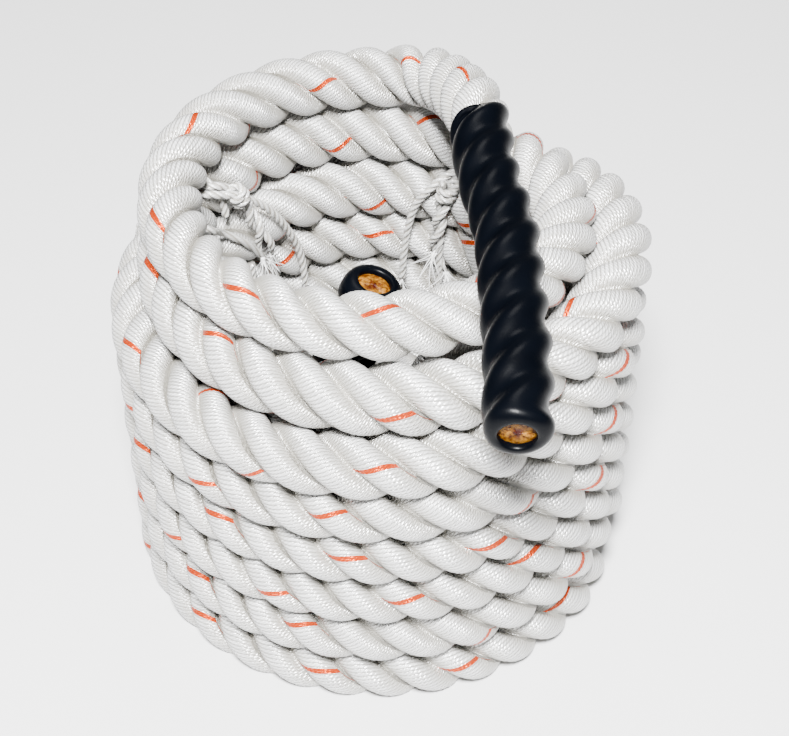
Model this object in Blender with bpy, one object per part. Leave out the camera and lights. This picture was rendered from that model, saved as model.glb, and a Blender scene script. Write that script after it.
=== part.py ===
"""A battle rope, coiled and tied for storage.

One thick three-strand rope is wound in two columns of turns, with a heat-shrunk sleeve on each end as a handle.
Handle 2 stands in the bore. Its rope climbs the bore, joins the inner column at the top, winds down it, crosses
to the outer column on the floor and winds up again. The last turns spiral in and end in handle 1, which lies
across the top. Two pieces of twine tie the wall of the coil.
The coil's axis is the Z axis while the pieces are made. Azimuths run clockwise seen from above, from the front.
"""

import math

import bmesh
import bpy
import numpy as np
from mathutils import Vector

# Rope
ROPE_DIAMETER = 0.038
SETTLED_SHARE = 0.932
TUBE_DIAMETER = ROPE_DIAMETER * SETTLED_SHARE
TURN_GAP = 0.0008
COLUMN_GAP = 0.0011
LEVEL_STEP = TUBE_DIAMETER + TURN_GAP
COLUMN_STEP = TUBE_DIAMETER + COLUMN_GAP
FOOT_DEPTH = TUBE_DIAMETER / 10

# Coil
BORE_RADIUS = 0.0895
INNER_RADIUS = BORE_RADIUS + TUBE_DIAMETER / 2
OUTER_RADIUS = INNER_RADIUS + COLUMN_STEP
LEVELS = 6
POINTS_PER_LOOP = 24
DEGREES_PER_POINT = 360 / POINTS_PER_LOOP

# Where the rope changes column or level, in degrees of azimuth
LAST_CLIMB = 231
MOVE_ARC = 54
CROSS_LEAD = 19
CLIMB_LEAD = 5
ENTRY_LEAD = 25

# Handles
SLEEVE_LENGTH = 0.246
SLEEVE_DIAMETER = 0.0362
SLEEVE_WALL = 0.0018
LOBES = 3
LOBE_DEPTH = 0.0030
SLEEVE_SIDES = 5 * LOBES
SLEEVE_RINGS = 45
LIP_RADIUS = 0.0060
LIP_STEPS = 4
HOLE_RADIUS = 0.0100
END_RECESS = 0.0022
END_THICKNESS = 0.0070

# Twine
TWINE_DIAMETER = 0.0055
TWINE_BED = 0.0008
TWIST_TURNS = 2
TWIST_STEPS = 8

# Fits
FIT_GAP = 0.0003
CUT_OVERRUN = 0.010
LEAST_GAP = 0.0004
SAMPLES = 6

# The strands end behind the fused end. The lobes turn by one side of the sleeve from ring to ring.
STRANDS_END = SLEEVE_LENGTH - END_RECESS - END_THICKNESS - FIT_GAP
SLEEVE_STEP = STRANDS_END / (SLEEVE_RINGS - 1)
SLEEVE_LAY = SLEEVE_SIDES * SLEEVE_STEP

# Route of handle 2 and its rope up the bore: azimuth, then the share of INNER_RADIUS, then the level
BORE_ROUTE_SHARES = (
    (1, 0.589, 6.79),
    (13, 0.597, 5.58),
    (26, 0.607, 4.37),
    (38, 0.614, 3.17),
    (55, 0.620, 1.95),
    (80, 0.612, 0.92),
    (93, 0.596, 0.66),
    (106, 0.612, 0.40),
    (133, 0.635, 0.13),
    (165, 0.635, 0.45),
    (200, 0.625, 1.35),
    (234, 0.632, 2.45),
    (267, 0.645, 3.52),
    (300, 0.652, 4.48),
    (316, 0.655, 4.86),
)

# The turns above the two columns: azimuth from the front of the top outer turn, then the column
# (0 inner, 1 outer) and the level, both as shares of a step
TOP_TURN_SHARES = (
    (-30, 1.0, 5.0),
    (165, 1.0, 5.0),
    (201, 1.0, 5.09),
    (231, 0.98, 5.56),
    (261, 0.97, 6.05),
    (300, 0.87, 6.01),
    (330, 0.71, 6.0),
    (360, 0.56, 6.0),
    (405, 0.47, 6.0),
    (450, 0.42, 6.0),
    (480, 0.42, 6.0),
    (510, 0.40, 6.01),
    (540, 0.30, 6.04),
    (570, 0.20, 6.13),
    (600, 0.12, 6.36),
    (630, 0.07, 6.62),
    (675, 0.05, 6.9),
    (720, 0.07, 7.02),
    (765, 0.22, 7.03),
    (810, 0.38, 7.04),
    (840, 0.47, 7.05),
    (870, 0.43, 7.07),
    (885, 0.37, 7.09),
)

# Handle 1 and the bend that leads to it: x and y as shares of INNER_RADIUS, then the level
TOP_ROUTE_SHARES = (
    (0.018, 1.120, 7.11),
    (0.200, 1.085, 7.21),
    (0.350, 0.920, 7.44),
    (0.450, 0.640, 7.78),
    (0.503, 0.429, 8.00),
    (0.530, 0.300, 8.09),
    (0.567, -0.227, 8.14),
    (0.638, -0.688, 8.12),
    (0.656, -1.166, 8.09),
    (0.660, -1.620, 8.00),
    (0.638, -2.072, 7.86),
)

# The ties: name, azimuth, and whether it passes over the turn that lies on the columns too
TIES = (
    ("tie_left", 112, True),
    ("tie_right", 207, False),
)


def level_height(level):
    return TUBE_DIAMETER / 2 - FOOT_DEPTH + level * LEVEL_STEP


def on_coil(azimuth, radius, height):
    """The point at an azimuth in degrees."""
    turn = math.radians(azimuth)
    return np.array((-radius * math.sin(turn), -radius * math.cos(turn), height))


def ramp(position):
    """From 0 to 1 in a half wave."""
    return 0.5 - 0.5 * math.cos(math.pi * min(1.0, max(0.0, position)))


def smooth(stations, values, wanted):
    """The natural cubic curve through the values, read at the wanted stations."""
    x = np.asarray(stations, float)
    y = np.asarray(values, float).reshape(len(x), -1)
    step = np.diff(x)
    slope = np.diff(y, axis=0) / step[:, None]
    system = np.eye(len(x))
    right = np.zeros_like(y)
    for i in range(1, len(x) - 1):
        system[i, i - 1 : i + 2] = step[i - 1], 2 * (step[i - 1] + step[i]), step[i]
        right[i] = 6 * (slope[i] - slope[i - 1])
    bend = np.linalg.solve(system, right)
    wanted = np.asarray(wanted, float)
    k = np.clip(np.searchsorted(x, wanted, side="right") - 1, 0, len(x) - 2)
    span = step[k][:, None]
    b = (wanted - x[k])[:, None] / span
    a = 1 - b
    curved = (a**3 - a) * bend[k] + (b**3 - b) * bend[k + 1]
    return a * y[k] + b * y[k + 1] + curved * span**2 / 6


def travelled(points):
    """How far along the line each point lies."""
    steps = np.linalg.norm(np.diff(points, axis=0), axis=1)
    return np.concatenate([[0.0], np.cumsum(steps)])


def finely(points, samples=SAMPLES):
    """More points, on the smooth curve through these."""
    along = travelled(points)
    parts = [np.linspace(a, b, samples, endpoint=False) for a, b in zip(along, along[1:])]
    return smooth(along, points, np.concatenate(parts + [along[-1:]]))


def column_cells():
    """Radius and level of each turn: down the inner column, then up the outer one."""
    inner = [(INNER_RADIUS, level) for level in reversed(range(LEVELS))]
    outer = [(OUTER_RADIUS, level) for level in range(LEVELS)]
    return inner + outer


def move_azimuths():
    """Where each turn of column_cells moves on to the next.

    A move further up the rope comes at an earlier azimuth, by a small lead between two climbs and a larger one
    where a climb meets a crossing, so the turns never meet.
    """
    cells = column_cells()
    kinds = ["climb" if a[0] == b[0] else "cross" for a, b in zip(cells, cells[1:])]
    azimuth = LAST_CLIMB
    after = "climb"
    azimuths = []
    for kind in reversed(kinds):
        azimuth += CLIMB_LEAD if kind == after else CROSS_LEAD
        azimuths.append(azimuth)
        after = kind
    return azimuths[::-1]


def column_points():
    """The turns of both columns, a point each DEGREES_PER_POINT. Returns them and the last one's azimuth."""
    cells = column_cells()
    azimuths = move_azimuths()
    entry = azimuths[0] + ENTRY_LEAD
    start = DEGREES_PER_POINT * math.ceil((entry - MOVE_ARC / 4) / DEGREES_PER_POINT)
    end = 360 * len(cells) + TOP_TURN_SHARES[1][0]
    points = []
    for azimuth in np.arange(start, end, DEGREES_PER_POINT):
        radius = INNER_RADIUS - COLUMN_STEP * (1 - ramp((azimuth - entry) / MOVE_ARC + 0.5))
        level = cells[0][1]
        for turn, (here, there) in enumerate(zip(cells, cells[1:])):
            middle = 360 * (turn + 1) + azimuths[turn]
            done = ramp((azimuth - middle) / MOVE_ARC + 0.5)
            radius += (there[0] - here[0]) * done
            level += (there[1] - here[1]) * done
        points.append(on_coil(azimuth, radius, level_height(level)))
    return points


def top_turn_column(azimuth):
    """How far between the columns the turn on top of them lies at an azimuth."""
    table = np.array(TOP_TURN_SHARES, float)
    return float(smooth(table[:, 0], table[:, 1], (azimuth,))[0][0])


def top_points():
    """The climbing and inward turns over the columns."""
    table = np.array(TOP_TURN_SHARES, float)
    azimuths = np.arange(table[1][0], table[-1][0] + DEGREES_PER_POINT / 2, DEGREES_PER_POINT)
    shares = smooth(table[:, 0], table[:, 1:], azimuths)
    return [
        on_coil(azimuth, INNER_RADIUS + column * COLUMN_STEP, level_height(level))
        for azimuth, (column, level) in zip(azimuths, shares)
    ]


def rope_route():
    """The rope's whole centreline from handle 2's end to handle 1's: (knots, first coil knot, last coil knot)."""
    low = [
        on_coil(azimuth, share * INNER_RADIUS, level_height(level))
        for azimuth, share, level in BORE_ROUTE_SHARES
    ]
    coil = column_points() + top_points()
    high = [
        np.array((x * INNER_RADIUS, y * INNER_RADIUS, level_height(level)))
        for x, y, level in TOP_ROUTE_SHARES
    ]
    return np.array(low + coil + high), len(low), len(low) + len(coil) - 1


def tube_points(knots, first, last):
    """The points of the plain tube between the two sleeves: the coil's own, and even steps along both leads.

    Its ends are straight for one diameter and square to the sleeves' mouths.
    """
    fine = finely(knots)
    along = travelled(fine)
    coil = along[first * SAMPLES : last * SAMPLES + 1 : SAMPLES]
    bottom = SLEEVE_LENGTH + FIT_GAP
    top = along[-1] - bottom
    below = spread(bottom + TUBE_DIAMETER, coil[0], TUBE_DIAMETER)[:-1]
    above = spread(coil[-1], top - TUBE_DIAMETER, TUBE_DIAMETER)[1:]
    points = smooth(along, fine, np.concatenate([[bottom], below, coil, above, [top]]))
    for end, beside, mouth, step in (
        (0, 1, SLEEVE_LENGTH, -SLEEVE_STEP),
        (-1, -2, along[-1] - SLEEVE_LENGTH, SLEEVE_STEP),
    ):
        here, inside = smooth(along, fine, (mouth, mouth + step))
        back = (here - inside) / np.linalg.norm(here - inside)
        points[end] = here + back * FIT_GAP
        points[beside] = here + back * (FIT_GAP + TUBE_DIAMETER)
    return points, fine, along


def spread(start, end, step):
    """Even stations from start to end, about a step apart."""
    return np.linspace(start, end, max(2, round((end - start) / step) + 1))


def least_gap(points, diameter):
    """The smallest clear distance between stretches of the tube that aren't neighbours along it."""
    fine = []
    for a, b in zip(points, points[1:]):
        fine += [a + (b - a) * k / SAMPLES for k in range(SAMPLES)]
    fine = np.array(fine)
    along = travelled(fine)
    least = math.inf
    for i, point in enumerate(fine):
        far = along > along[i] + 2.5 * diameter
        if far.any():
            least = min(least, np.linalg.norm(fine[far] - point, axis=1).min())
    return least - diameter


def frames(points):
    """A direction along the line and one across it at each point, without any twist between them."""
    ahead = np.gradient(points, axis=0)
    ahead /= np.linalg.norm(ahead, axis=1)[:, None]
    across = [Vector(ahead[0]).orthogonal().normalized()]
    for a, b in zip(ahead, ahead[1:]):
        turn = Vector(a).rotation_difference(Vector(b))
        across.append((turn @ across[-1]).normalized())
    return [Vector(a) for a in ahead], across


def material(name, colour, roughness):
    made = bpy.data.materials.new(name)
    made.use_nodes = True
    shader = made.node_tree.nodes["Principled BSDF"]
    shader.inputs["Base Color"].default_value = (*colour, 1.0)
    shader.inputs["Roughness"].default_value = roughness
    shader.inputs["Metallic"].default_value = 0.0
    made.diffuse_color = (*colour, 1.0)
    return made


def add_object(name, mesh, collection, paint=None):
    thing = bpy.data.objects.new(name, mesh)
    collection.objects.link(thing)
    if paint:
        mesh.materials.append(paint)
        mesh.shade_smooth()
    return thing


def tube(name, points, diameter, collection, paint=None):
    """A six-sided tube along the points, made a mesh with welded caps."""
    curve = bpy.data.curves.new(name, "CURVE")
    curve.dimensions = "3D"
    curve.bevel_depth = diameter / 2
    curve.bevel_resolution = 1
    curve.use_fill_caps = True
    spline = curve.splines.new("POLY")
    spline.points.add(len(points) - 1)
    for knot, point in zip(spline.points, points):
        knot.co = (*point, 1.0)
    guide = bpy.data.objects.new(name + "_line", curve)
    bpy.context.scene.collection.objects.link(guide)
    bpy.context.view_layer.update()
    evaluated = guide.evaluated_get(bpy.context.evaluated_depsgraph_get())
    mesh = bpy.data.meshes.new_from_object(evaluated)
    mesh.name = name
    shape = bmesh.new()
    shape.from_mesh(mesh)
    bmesh.ops.remove_doubles(shape, verts=shape.verts, dist=FIT_GAP / 30)
    bmesh.ops.recalc_face_normals(shape, faces=shape.faces)
    shape.to_mesh(mesh)
    shape.free()
    bpy.data.objects.remove(guide, do_unlink=True)
    mesh.materials.clear()
    return add_object(name, mesh, collection, paint)


def lobed(crown, depth, angle, along):
    """The radius of a three-lobed rope at an angle, turned with its lay: broad crowns and narrow grooves."""
    groove = 0.5 + 0.5 * math.cos(LOBES * (angle - math.tau * along / SLEEVE_LAY))
    return crown - depth * groove**2


def loft(name, rings, collection, paint, closed, backward=None):
    """A skin over rings of points: joined to a loop of rings, or capped at both ends.

    Each cell is split along the lay, so that crowns and grooves run on smoothly. Rings from backward on run
    the other way along the handle and are split the other way.
    """
    shape = bmesh.new()
    rows = [[shape.verts.new(point) for point in ring] for ring in rings]
    pairs = list(zip(rows, rows[1:])) + ([(rows[-1], rows[0])] if closed else [])
    for number, (low, high) in enumerate(pairs):
        for i in range(len(low)):
            if backward is None or number < backward:
                shape.faces.new((low[i - 1], high[i - 1], high[i]))
                shape.faces.new((low[i - 1], high[i], low[i]))
            else:
                shape.faces.new((low[i - 1], high[i - 1], low[i]))
                shape.faces.new((high[i - 1], high[i], low[i]))
    if not closed:
        shape.faces.new(rows[0])
        shape.faces.new(rows[-1][::-1])
    bmesh.ops.recalc_face_normals(shape, faces=shape.faces)
    mesh = bpy.data.meshes.new(name)
    shape.to_mesh(mesh)
    shape.free()
    return add_object(name, mesh, collection, paint)


def handle_axis(fine, along, from_end):
    """Reads the centreline by the distance from the sleeve's mouth, for the sleeve at either end of the rope."""
    mouth = along[-1] - SLEEVE_LENGTH if from_end else SLEEVE_LENGTH
    way = 1 if from_end else -1

    return lambda distances: smooth(along, fine, mouth + way * np.asarray(distances, float))


def sleeve_marks():
    """Where the rings of a sleeve and of the strands inside it stand, from its mouth."""
    return np.linspace(0, STRANDS_END, SLEEVE_RINGS)


def ring_maker(axis):
    """Places a ring of SLEEVE_SIDES points square to a handle's axis, with the lobes' angle kept along it."""
    marks = sleeve_marks()
    ahead, across = frames(axis(marks))

    def ring(distance, radius):
        nearest = int(np.abs(marks - distance).argmin())
        side = across[nearest]
        other = ahead[nearest].cross(side)
        centre = Vector(axis([distance])[0])
        points = []
        for k in range(SLEEVE_SIDES):
            angle = math.tau * k / SLEEVE_SIDES
            out = side * math.cos(angle) + other * math.sin(angle)
            points.append(centre + out * radius(angle, distance))
        return points

    return ring


def sleeve_radius(inset, depth=LOBE_DEPTH):
    """The lobed radius, inset from the sleeve's outer face."""
    return lambda angle, along: lobed(SLEEVE_DIAMETER / 2 - inset, depth, angle, along)


def plain_radius(radius):
    return lambda angle, along: radius


def add_sleeve(name, ring, collection, paint):
    """A shrunk sleeve: lobed outside and in, open at the mouth, turned in over the rope's end."""
    marks = sleeve_marks()
    lip = SLEEVE_LENGTH - LIP_RADIUS
    rings = [ring(mark, sleeve_radius(0)) for mark in marks]
    for step in range(LIP_STEPS + 1):
        turn = math.pi / 2 * step / LIP_STEPS
        fade = LOBE_DEPTH * (1 - step / LIP_STEPS)
        inset = LIP_RADIUS * (1 - math.cos(turn))
        rings.append(ring(lip + LIP_RADIUS * math.sin(turn), sleeve_radius(inset, fade)))
    rings.append(ring(SLEEVE_LENGTH, plain_radius(HOLE_RADIUS + SLEEVE_WALL / 2)))
    rings.append(ring(SLEEVE_LENGTH - SLEEVE_WALL / 2, plain_radius(HOLE_RADIUS)))
    turned = len(rings)
    rings.append(ring(SLEEVE_LENGTH - SLEEVE_WALL, plain_radius(HOLE_RADIUS + SLEEVE_WALL / 2)))
    for step in reversed(range(LIP_STEPS)):
        turn = math.pi / 2 * step / LIP_STEPS
        fade = LOBE_DEPTH * (1 - step / LIP_STEPS)
        small = LIP_RADIUS - SLEEVE_WALL
        inset = SLEEVE_WALL + small * (1 - math.cos(turn))
        rings.append(ring(lip + small * math.sin(turn), sleeve_radius(inset, fade)))
    rings += [ring(mark, sleeve_radius(SLEEVE_WALL)) for mark in marks[::-1]]
    return loft(name, rings, collection, paint, closed=True, backward=turned)


def add_core(name, ring, collection, paint):
    """The three strands inside a sleeve, as one twisted and lobed bar."""
    rings = [ring(mark, sleeve_radius(SLEEVE_WALL + FIT_GAP)) for mark in sleeve_marks()]
    return loft(name, rings, collection, paint, closed=False)


def add_fused_end(name, ring, collection, paint):
    """The melted and hardened end of the strands, a low dome behind the sleeve's lip."""
    foot = STRANDS_END + FIT_GAP
    top = SLEEVE_LENGTH - END_RECESS
    wide = SLEEVE_WALL + FIT_GAP
    profile_shares = ((0.0, 0.05), (0.4, 0.08), (0.7, 0.22), (0.9, 0.45), (1.0, 0.75))
    rings = []
    for rise, share in profile_shares:
        inset = wide + share * (SLEEVE_DIAMETER / 2 - wide)
        rings.append(ring(foot + rise * (top - foot), sleeve_radius(inset, LOBE_DEPTH * (1 - share))))
    return loft(name, rings, collection, paint, closed=False)


def tie_loop(azimuth, over_turn):
    """A tie's way round the wall at an azimuth: from the inner wall's top over, down, under and up.

    It passes over the two columns, or over the turn that lies on them too.
    """
    reach = TUBE_DIAMETER / 2 + TWINE_BED + TWINE_DIAMETER / 2
    inner = INNER_RADIUS - reach
    outer = OUTER_RADIUS + reach
    floor = TWINE_DIAMETER / 2 + FIT_GAP
    shoulder = level_height(LEVELS - 1)
    rise = TUBE_DIAMETER / 2 + TURN_GAP / 2
    bend = TUBE_DIAMETER / 3
    if over_turn:
        turn = INNER_RADIUS + top_turn_column(azimuth + 360) * COLUMN_STEP
        top = level_height(LEVELS)
        flank = (turn + TUBE_DIAMETER / 2, top + TUBE_DIAMETER / 4)
    else:
        turn = INNER_RADIUS
        top = shoulder
        flank = (turn + COLUMN_STEP * 0.8, shoulder + reach)
    path = [
        (turn - reach, top - bend / 2),
        (turn - reach + bend / 2, top + rise - bend / 3),
        (turn + bend / 4, top + rise),
        flank,
        (OUTER_RADIUS + bend / 2, shoulder + reach - bend / 6),
        (outer - bend / 5, shoulder + bend / 2),
        (outer, shoulder - bend),
    ]
    path += [(outer, level_height(level)) for level in range(LEVELS - 2, 0, -1)]
    path += [
        (outer, level_height(0) + bend / 2),
        (outer - bend / 2, floor + bend / 8),
        (OUTER_RADIUS, floor),
        (INNER_RADIUS, floor),
        (inner + bend / 2, floor + bend / 8),
        (inner, level_height(0) + bend / 2),
    ]
    path += [(inner, level_height(level)) for level in range(1, LEVELS - 1)]
    path.append((inner, shoulder - bend / 4))
    return [on_coil(azimuth, radius, height) for radius, height in path]


def tie_points(azimuth, over_turn):
    """One piece of twine: a tail, a twist with its other end, round the wall, back down the twist, a tail."""
    loop = tie_loop(azimuth, over_turn)
    twist = TWINE_DIAMETER / 2 + FIT_GAP
    inner = INNER_RADIUS - TUBE_DIAMETER / 2 - TWINE_BED - TWINE_DIAMETER / 2
    hang = inner - TWINE_DIAMETER - 2 * twist
    top = level_height(LEVELS - 1) + TUBE_DIAMETER / 4
    drop = TUBE_DIAMETER * 0.9
    out = Vector(on_coil(azimuth, 1.0, 0.0))
    side = Vector((0, 0, 1)).cross(out)

    def beside(sideways, radius, height):
        return np.array(out * radius + side * sideways) + np.array((0, 0, height))

    def strand(phase):
        steps = TWIST_TURNS * TWIST_STEPS
        points = []
        for step in range(steps + 1):
            turn = phase + math.tau * step / TWIST_STEPS
            height = top - drop * step / steps
            points.append(beside(twist * math.cos(turn), hang + twist * math.sin(turn), height))
        return points

    tail = [
        beside(-TWINE_DIAMETER * 2.0, hang, top - drop - TUBE_DIAMETER * 0.25),
        beside(-TWINE_DIAMETER * 3.2, hang + twist, top - drop - TUBE_DIAMETER * 0.65),
        beside(-TWINE_DIAMETER * 3.6, hang + twist, top - drop - TUBE_DIAMETER * 1.1),
    ]
    other = [
        beside(TWINE_DIAMETER * 1.6, hang, top - drop - TUBE_DIAMETER * 0.2),
        beside(TWINE_DIAMETER * 3.4, hang + twist, top - drop - TUBE_DIAMETER * 0.45),
        beside(TWINE_DIAMETER * 5.2, hang, top - drop - TUBE_DIAMETER * 0.8),
    ]
    return tail[::-1] + strand(math.pi)[::-1] + loop + strand(0.0) + other


def round_corners(points, step):
    """Even points about a step apart on the smooth curve through these."""
    along = travelled(points)
    return smooth(along, points, spread(0.0, along[-1], step))


def add_tie(name, azimuth, over_turn, collection, cutters, paint):
    """The twine, and the fatter cutter that beds it in the rope."""
    line = round_corners(np.array(tie_points(azimuth, over_turn)), TWINE_DIAMETER * 0.9)
    tie = tube(name, line, TWINE_DIAMETER, collection, paint)
    cutter = tube(name + "_bed", line, TWINE_DIAMETER + 2 * FIT_GAP, cutters)
    return tie, cutter


def foot_cutter(collection):
    """A block under the floor, which cuts the bottom turns flat."""
    size = 2 * (OUTER_RADIUS + TUBE_DIAMETER + CUT_OVERRUN)
    shape = bmesh.new()
    bmesh.ops.create_cube(shape, size=size)
    mesh = bpy.data.meshes.new("foot_cutter")
    shape.to_mesh(mesh)
    shape.free()
    block = add_object("foot_cutter", mesh, collection)
    block.location.z = -size / 2
    return block


def cut(thing, cutters):
    for cutter in cutters:
        boolean = thing.modifiers.new("cut_" + cutter.name, "BOOLEAN")
        boolean.operation = "DIFFERENCE"
        boolean.solver = "EXACT"
        boolean.object = cutter


def centre_in_box(parts, cutters):
    """Moves the pieces so that the origin lies under the middle of their box."""
    corners = np.array([v.co for part in parts for v in part.data.vertices])
    middle = (corners.min(axis=0) + corners.max(axis=0)) / 2
    for thing in parts + cutters:
        thing.location.x -= middle[0]
        thing.location.y -= middle[1]
    print("coil axis at", round(-middle[0], 5), round(-middle[1], 5))


def main():
    for thing in list(bpy.data.objects):
        bpy.data.objects.remove(thing, do_unlink=True)
    model = bpy.data.collections.new("battle_rope")
    tools = bpy.data.collections.new("cutters")
    bpy.context.scene.collection.children.link(model)
    bpy.context.scene.collection.children.link(tools)
    white = material("rope_white", (0.80, 0.79, 0.76), 0.45)
    black = material("sleeve_black", (0.012, 0.015, 0.022), 0.35)
    burnt = material("fused_end", (0.62, 0.42, 0.16), 0.5)
    twine = material("twine_white", (0.85, 0.85, 0.84), 0.4)

    knots, first, last = rope_route()
    points, fine, along = tube_points(knots, first, last)
    gap = least_gap(points, TUBE_DIAMETER)
    print("rope length", round(along[-1], 3), "least gap mm", round(1000 * gap, 3), "points", len(points))
    if gap < LEAST_GAP:
        print("the turns are closer than", LEAST_GAP)
    rope = tube("rope_coil", points, TUBE_DIAMETER, model, white)
    parts = [rope]
    for number, from_end in ((1, True), (2, False)):
        name = "handle_" + str(number)
        ring = ring_maker(handle_axis(fine, along, from_end))
        parts.append(add_sleeve(name + "_sleeve", ring, model, black))
        parts.append(add_core(name + "_strands", ring, model, white))
        parts.append(add_fused_end(name + "_fused_end", ring, model, burnt))
    cutters = [foot_cutter(tools)]
    for name, azimuth, over_turn in TIES:
        tie, bed = add_tie(name, azimuth, over_turn, model, tools, twine)
        parts.append(tie)
        cutters.append(bed)
    cut(rope, cutters)
    for cutter in cutters:
        cutter.hide_render = True
        cutter.display_type = "WIRE"
    centre_in_box(parts, cutters)


main()
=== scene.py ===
import math

import bmesh
import bpy
import numpy as np
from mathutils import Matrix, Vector


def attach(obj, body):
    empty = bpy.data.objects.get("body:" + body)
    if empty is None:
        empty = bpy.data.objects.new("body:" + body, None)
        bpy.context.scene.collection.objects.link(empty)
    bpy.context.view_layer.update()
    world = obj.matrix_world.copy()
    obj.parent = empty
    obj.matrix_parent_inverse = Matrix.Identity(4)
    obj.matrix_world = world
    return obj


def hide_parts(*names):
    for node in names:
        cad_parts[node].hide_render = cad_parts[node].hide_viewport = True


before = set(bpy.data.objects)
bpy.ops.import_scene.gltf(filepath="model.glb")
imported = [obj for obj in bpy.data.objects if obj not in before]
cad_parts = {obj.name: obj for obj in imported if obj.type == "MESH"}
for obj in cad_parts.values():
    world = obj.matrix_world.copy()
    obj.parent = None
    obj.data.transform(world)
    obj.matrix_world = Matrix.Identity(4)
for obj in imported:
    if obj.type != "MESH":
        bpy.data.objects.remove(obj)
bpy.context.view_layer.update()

# A battle rope, coiled and tied for storage. Lengths are in metres. Azimuths are in degrees from
# the front, clockwise as seen from above. The rope's route and the ties' way round the coil are
# those of the part's solids.

# Where the coil's axis stands
AXIS = np.array((0.00006, 0.03112, 0.0))

# The rope's diameter, and that of the tube that stands for it in the solids
ROPE = 0.038
TUBE = ROPE * 0.932

# The coil: gaps between turns above and beside each other, the bore, and the depth that the
# lowest turns are pressed flat on the floor
LEVEL_GAP = 0.0008
COLUMN_GAP = 0.0011
BORE_RADIUS = 0.0895
LEVEL_STEP = TUBE + LEVEL_GAP
COLUMN_STEP = TUBE + COLUMN_GAP
FOOT_DEPTH = TUBE / 10
INNER = BORE_RADIUS + TUBE / 2
OUTER = INNER + COLUMN_STEP
LEVELS = 6

# Arcs in degrees: between points of the route, of a move to the next turn, and how far one move
# leads the next. LAST_CLIMB is the azimuth where the rope climbs onto the columns
POINT_ARC = 15
MOVE_ARC = 54
LAST_CLIMB = 231
CROSS_LEAD = 19
CLIMB_LEAD = 5
ENTRY_LEAD = 25

# Route of handle 2 and the rope up the bore: azimuth, share of INNER, level
BORE_ROUTE = (
    (1, 0.589, 6.79),
    (13, 0.597, 5.58),
    (26, 0.607, 4.37),
    (38, 0.614, 3.17),
    (55, 0.620, 1.95),
    (80, 0.612, 0.92),
    (93, 0.596, 0.66),
    (106, 0.612, 0.40),
    (133, 0.635, 0.13),
    (165, 0.635, 0.45),
    (200, 0.625, 1.35),
    (234, 0.632, 2.45),
    (267, 0.645, 3.52),
    (300, 0.652, 4.48),
    (316, 0.655, 4.86),
)
# Turns on top: azimuth, column, level
TOP_TURNS = (
    (-30, 1.0, 5.0),
    (165, 1.0, 5.0),
    (201, 1.0, 5.09),
    (231, 0.98, 5.56),
    (261, 0.97, 6.05),
    (300, 0.87, 6.01),
    (330, 0.71, 6.0),
    (360, 0.56, 6.0),
    (405, 0.47, 6.0),
    (450, 0.42, 6.0),
    (480, 0.42, 6.0),
    (510, 0.40, 6.01),
    (540, 0.30, 6.04),
    (570, 0.20, 6.13),
    (600, 0.12, 6.36),
    (630, 0.07, 6.62),
    (675, 0.05, 6.9),
    (720, 0.07, 7.02),
    (765, 0.22, 7.03),
    (810, 0.38, 7.04),
    (840, 0.47, 7.05),
    (870, 0.43, 7.07),
    (885, 0.37, 7.09),
)
# Handle 1 and its bend: x and y as shares of INNER, level
TOP_ROUTE = (
    (0.018, 1.120, 7.11),
    (0.200, 1.085, 7.21),
    (0.350, 0.920, 7.44),
    (0.450, 0.640, 7.78),
    (0.503, 0.429, 8.00),
    (0.530, 0.300, 8.09),
    (0.567, -0.227, 8.14),
    (0.638, -0.688, 8.12),
    (0.656, -1.166, 8.09),
    (0.660, -1.620, 8.00),
    (0.638, -2.072, 7.86),
)
# The curve through the route is measured on this many points for each of the route's, and cut in
# steps
ROUTE_FINENESS = 6
LINE_STEP = 0.0026

# The strands: how many, how far their middles lie from the rope's as a share of its diameter, how
# much wider than deep they are, points round each, and steps in which its outline is searched
STRANDS = 3
STRAND_OFFSET = 0.258
STRAND_WIDTH = 1.17
ROPE_SAMPLES = 12
PROFILE_STEPS = 720

# The rope as drawn: neighbouring turns press into each other a little, and no point is below the
# floor
DRAWN = ROPE * 1.01
FLOOR_GAP = 0.0002
# It stops short of its route's ends, and is thinner in the sleeves, from a short taper at their
# mouths
END_INSET = 0.012
SLEEVE_SQUEEZE = 0.17
MOUTH_TAPER = 0.012
# The first turn that lies on the columns is pressed wider: its level, and how much wider it is.
# The share of that is WIDE_EDGE less the distance from the level in WIDE_FADEs, between 0 and 1
WIDE_LEVEL = 6.0
WIDE_EDGE = 1.6
WIDE_FADE = 0.35
WIDER = 0.08

# The lay: the length of one turn of the strands, free and in the sleeves, and its turn where
# handle 1's sleeve begins, in parts of a whole turn
PITCH = 2.12 * ROPE
SLEEVE_PITCH = 0.0813
END_TURN = 0.46
# A strand's yarns go round it this often in one lay of the rope
YARN_SPIN = 2.15
# Points on both sides over which changes of the lay and of the yarns' turn are eased
LAY_EASE = 12
YARN_EASE = 4
# The coloured yarn where the photo shows it: distance along the rope, and degrees from the side
# that faces the camera
LAY_MARKS = (
    (0.991, 52),
    (1.677, 15),
    (4.754, -30),
    (4.918, -30),
    (5.656, -75),
    (5.755, -22),
    (5.828, -22),
    (6.530, -8),
    (7.390, -52),
    (7.622, -15),
    (7.697, -52),
    (8.360, -75),
    (8.462, -22),
    (9.185, -45),
    (9.346, 0),
    (9.518, -38),
    (10.103, 52),
    (10.233, -22),
    (10.334, 8),
    (10.597, 38),
    (10.664, -30),
    (10.878, -75),
    (10.974, 30),
    (11.130, -30),
    (11.218, -22),
    (11.314, 0),
)

# The sleeves: length, width over the strands, film's wall, depth and sharpness of the grooves
# between the lobes, and the skin's points round
SLEEVE = 0.246
SLEEVE_WIDTH = 0.0362
FILM_WALL = 0.0017
LOBE_DEPTH = 0.0034
LOBE_SHARPNESS = 1.25
FILM_AROUND = 48
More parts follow.
